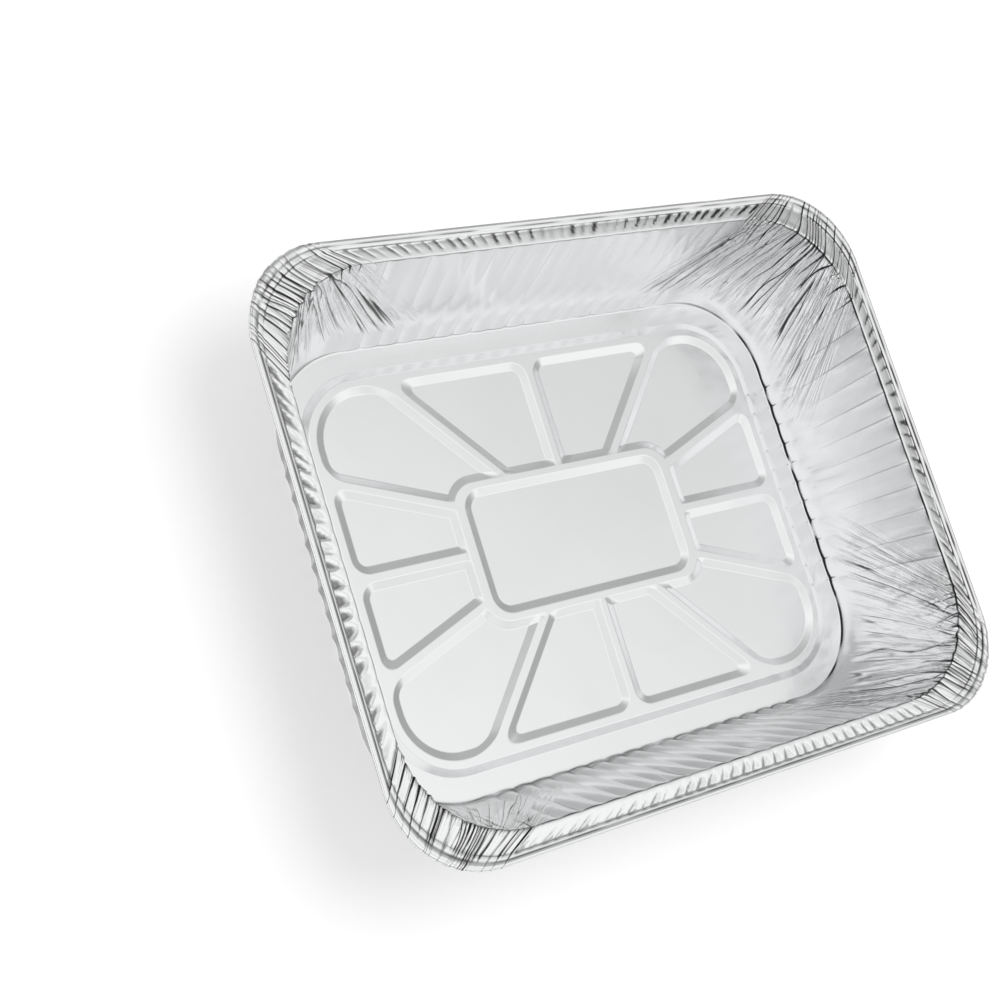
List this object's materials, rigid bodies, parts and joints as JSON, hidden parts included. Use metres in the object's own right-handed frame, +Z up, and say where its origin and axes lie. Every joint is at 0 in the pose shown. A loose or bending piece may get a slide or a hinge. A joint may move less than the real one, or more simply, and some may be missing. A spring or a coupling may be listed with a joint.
{
  "type": "foil roasting pan",
  "caption": "Rectangular half-size foil roasting pan with fluted sloping walls, gathered corners, a wide crimped flange, a curled rim and a base stiffened by radiating ribs.",
  "frame": {"origin": "under the middle of the base, on the surface that the pan stands on", "axes": "+X along the pan's length, +Y along its width, +Z up out of the open top"},
  "size_m": [0.326, 0.262, 0.065],
  "materials": {
    "foil": "satin rolled foil, bright, with brighter creases at the gathered corners"
  },
  "bodies": {
    "root": {"pan": "foil"}
  },
  "joints": []
}
